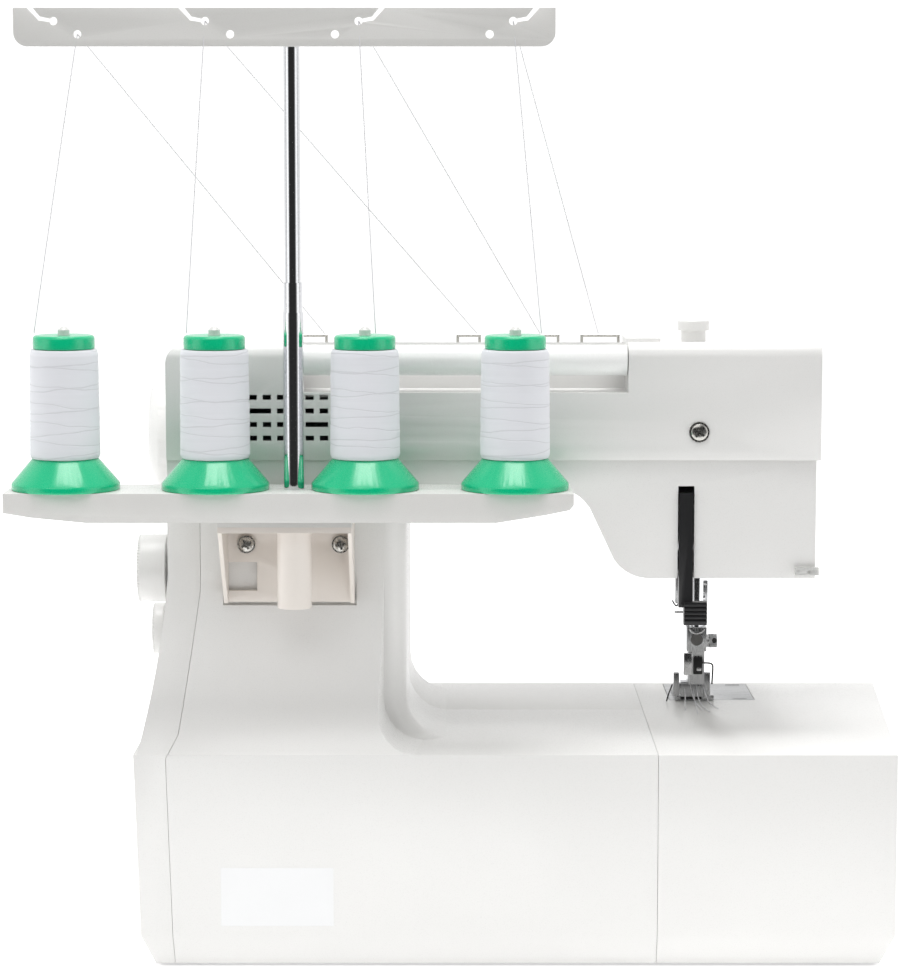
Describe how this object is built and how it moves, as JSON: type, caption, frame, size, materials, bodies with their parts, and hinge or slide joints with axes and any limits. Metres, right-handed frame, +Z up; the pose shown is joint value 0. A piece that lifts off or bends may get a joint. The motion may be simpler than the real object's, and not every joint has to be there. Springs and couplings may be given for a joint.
{
  "type": "serger overlock machine",
  "caption": "Domestic cover-stitch serger with free arm, needle head, handwheel, tension dials and a telescopic thread stand carrying cone spools.",
  "frame": {"origin": "centre of the footprint, on the table under the feet", "axes": "+Z up, +X towards the handwheel, +Y towards the rear with the thread stand, -Y towards the operator"},
  "size_m": [0.472, 0.237, 0.492],
  "materials": {
    "cover_white": "satin moulded",
    "stand_white": "satin moulded",
    "sheet_steel": "brushed",
    "foot_rubber": "matte",
    "belt_rubber": "matte",
    "cast_alloy": "as cast",
    "motor_grey": "satin",
    "plated_steel": "polished",
    "bright_steel": "fine ground",
    "pulley_black": "satin moulded",
    "dial_grey": "satin",
    "spool_green": "satin moulded",
    "thread_white": "spun thread"
  },
  "bodies": {
    "root": {"rear_cover": "cover_white", "front_cover": "cover_white", "side_cover": "cover_white", "arm_end_cover": "cover_white", "head_cover": "cover_white", "top_cover": "cover_white", "stand_bracket": "stand_white", "spool_tray": "stand_white", "base_plate": "sheet_steel", "needle_plate": "sheet_steel", "tension_bracket": "sheet_steel", "rubber_feet": "foot_rubber", "drive_belt": "belt_rubber", "frame_casting": "cast_alloy", "motor": "motor_grey", "presser_spring": "plated_steel", "mast_lower": "plated_steel", "top_thread_guides": "plated_steel", "handle_pins": "plated_steel", "cover_screws": "plated_steel", "thread_cutter": "plated_steel", "power_inlet": "pulley_black", "thread_1": "thread_white", "thread_2": "thread_white", "thread_3": "thread_white", "thread_4": "thread_white"},
    "needle_unit": {"needle_bar": "plated_steel", "needle_clamp": "bright_steel", "needles": "bright_steel"},
    "looper_unit": {"looper": "bright_steel"},
    "feed_unit": {"feed_dogs": "sheet_steel"},
    "presser_unit": {"presser_bar": "plated_steel", "foot_holder": "bright_steel", "presser_foot": "bright_steel"},
    "lifter": {"lifter_lever": "pulley_black"},
    "pressure_knob": {"pressure_dial": "cover_white"},
    "drive_shaft": {"main_shaft": "plated_steel", "shaft_pulley": "pulley_black", "handwheel": "cover_white"},
    "motor_rotor": {"motor_pulley": "pulley_black"},
    "stitch_knob": {"stitch_length_dial": "cover_white"},
    "differential_knob": {"differential_dial": "cover_white"},
    "door": {"looper_door": "cover_white"},
    "handle": {"carry_handle": "cover_white"},
    "mast_top": {"mast_upper": "plated_steel", "thread_guide_bar": "stand_white"},
    "switch": {"power_switch": "pulley_black"},
    "tension_knob_1": {"tension_dial_1": "dial_grey"},
    "cone_1": {"spool_1": "spool_green", "thread_pack_1": "thread_white"},
    "tension_knob_2": {"tension_dial_2": "dial_grey"},
    "cone_2": {"spool_2": "spool_green", "thread_pack_2": "thread_white"},
    "tension_knob_3": {"tension_dial_3": "dial_grey"},
    "cone_3": {"spool_3": "spool_green", "thread_pack_3": "thread_white"},
    "tension_knob_4": {"tension_dial_4": "dial_grey"},
    "cone_4": {"spool_4": "spool_green", "thread_pack_4": "thread_white"}
  },
  "joints": [
    {"name": "handwheel_turn", "type": "hinge", "parent": "root", "child": "drive_shaft", "pos_m": [0, -0.066, 0.263], "axis": [1, 0, 0], "continuous": true},
    {"name": "motor_turn", "type": "hinge", "parent": "root", "child": "motor_rotor", "pos_m": [0, 0.008, 0.062], "axis": [1, 0, 0], "continuous": true},
    {"name": "needle_bar_stroke", "type": "slide", "parent": "root", "child": "needle_unit", "axis": [0, 0, 1], "range_m": [-0.03, 0]},
    {"name": "looper_swing", "type": "hinge", "parent": "root", "child": "looper_unit", "pos_m": [-0.098, 0, 0.05], "axis": [0, -1, 0], "range_deg": [-3, 8]},
    {"name": "feed_travel", "type": "slide", "parent": "root", "child": "feed_unit", "axis": [0, 1, 0], "range_m": [-0.0022, 0.0022]},
    {"name": "lifter_turn", "type": "hinge", "parent": "root", "child": "lifter", "pos_m": [-0.1125, 0.05, 0.24], "axis": [1, 0, 0], "range_deg": [0, 60]},
    {"name": "presser_lift", "type": "slide", "parent": "root", "child": "presser_unit", "axis": [0, 0, 1], "range_m": [0, 0.007]},
    {"name": "pressure_dial_turn", "type": "hinge", "parent": "root", "child": "pressure_knob", "pos_m": [-0.1239, -0.05, 0.315], "axis": [0, 0, 1], "range_deg": [-150, 150]},
    {"name": "tension_dial_1_turn", "type": "hinge", "parent": "root", "child": "tension_knob_1", "pos_m": [0.02, -0.082, 0.286], "axis": [1, 0, 0], "range_deg": [-135, 135]},
    {"name": "tension_dial_2_turn", "type": "hinge", "parent": "root", "child": "tension_knob_2", "pos_m": [-0.001, -0.082, 0.286], "axis": [1, 0, 0], "range_deg": [-135, 135]},
    {"name": "tension_dial_3_turn", "type": "hinge", "parent": "root", "child": "tension_knob_3", "pos_m": [-0.022, -0.082, 0.286], "axis": [1, 0, 0], "range_deg": [-135, 135]},
    {"name": "tension_dial_4_turn", "type": "hinge", "parent": "root", "child": "tension_knob_4", "pos_m": [-0.043, -0.082, 0.286], "axis": [1, 0, 0], "range_deg": [-135, 135]},
    {"name": "stitch_length_turn", "type": "hinge", "parent": "root", "child": "stitch_knob", "pos_m": [0.165, 0.02, 0.1995], "axis": [1, 0, 0], "range_deg": [-120, 120]},
    {"name": "differential_turn", "type": "hinge", "parent": "root", "child": "differential_knob", "pos_m": [0.17, -0.022, 0.16], "axis": [1, 0, 0], "range_deg": [-90, 90]},
    {"name": "door_open", "type": "hinge", "parent": "root", "child": "door", "pos_m": [0, -0.1139, 0.0256], "axis": [1, 0, 0], "range_deg": [0, 90]},
    {"name": "handle_lift", "type": "hinge", "parent": "root", "child": "handle", "pos_m": [0, 0.034, 0.3125], "axis": [1, 0, 0], "range_deg": [0, 90]},
    {"name": "mast_slide", "type": "slide", "parent": "root", "child": "mast_top", "axis": [0, 0, 1], "range_m": [-0.112, 0], "deforming": ["thread_1", "thread_2", "thread_3", "thread_4"]},
    {"name": "cone_1_lift", "type": "slide", "parent": "root", "child": "cone_1", "axis": [0, 0, 1], "range_m": [0, 0.085]},
    {"name": "cone_2_lift", "type": "slide", "parent": "root", "child": "cone_2", "axis": [0, 0, 1], "range_m": [0, 0.085]},
    {"name": "cone_3_lift", "type": "slide", "parent": "root", "child": "cone_3", "axis": [0, 0, 1], "range_m": [0, 0.085]},
    {"name": "cone_4_lift", "type": "slide", "parent": "root", "child": "cone_4", "axis": [0, 0, 1], "range_m": [0, 0.085]},
    {"name": "power_switch_rock", "type": "hinge", "parent": "root", "child": "switch", "pos_m": [0.1625, 0, 0.04], "axis": [0, 1, 0], "range_deg": [-8, 8]}
  ],
  "couplings": [
    {"joint": "motor_turn", "follows": "handwheel_turn", "ratio": 2.75},
    {"joint": "lifter_turn", "follows": "presser_lift", "rad_per_m": 149.6}
  ]
}
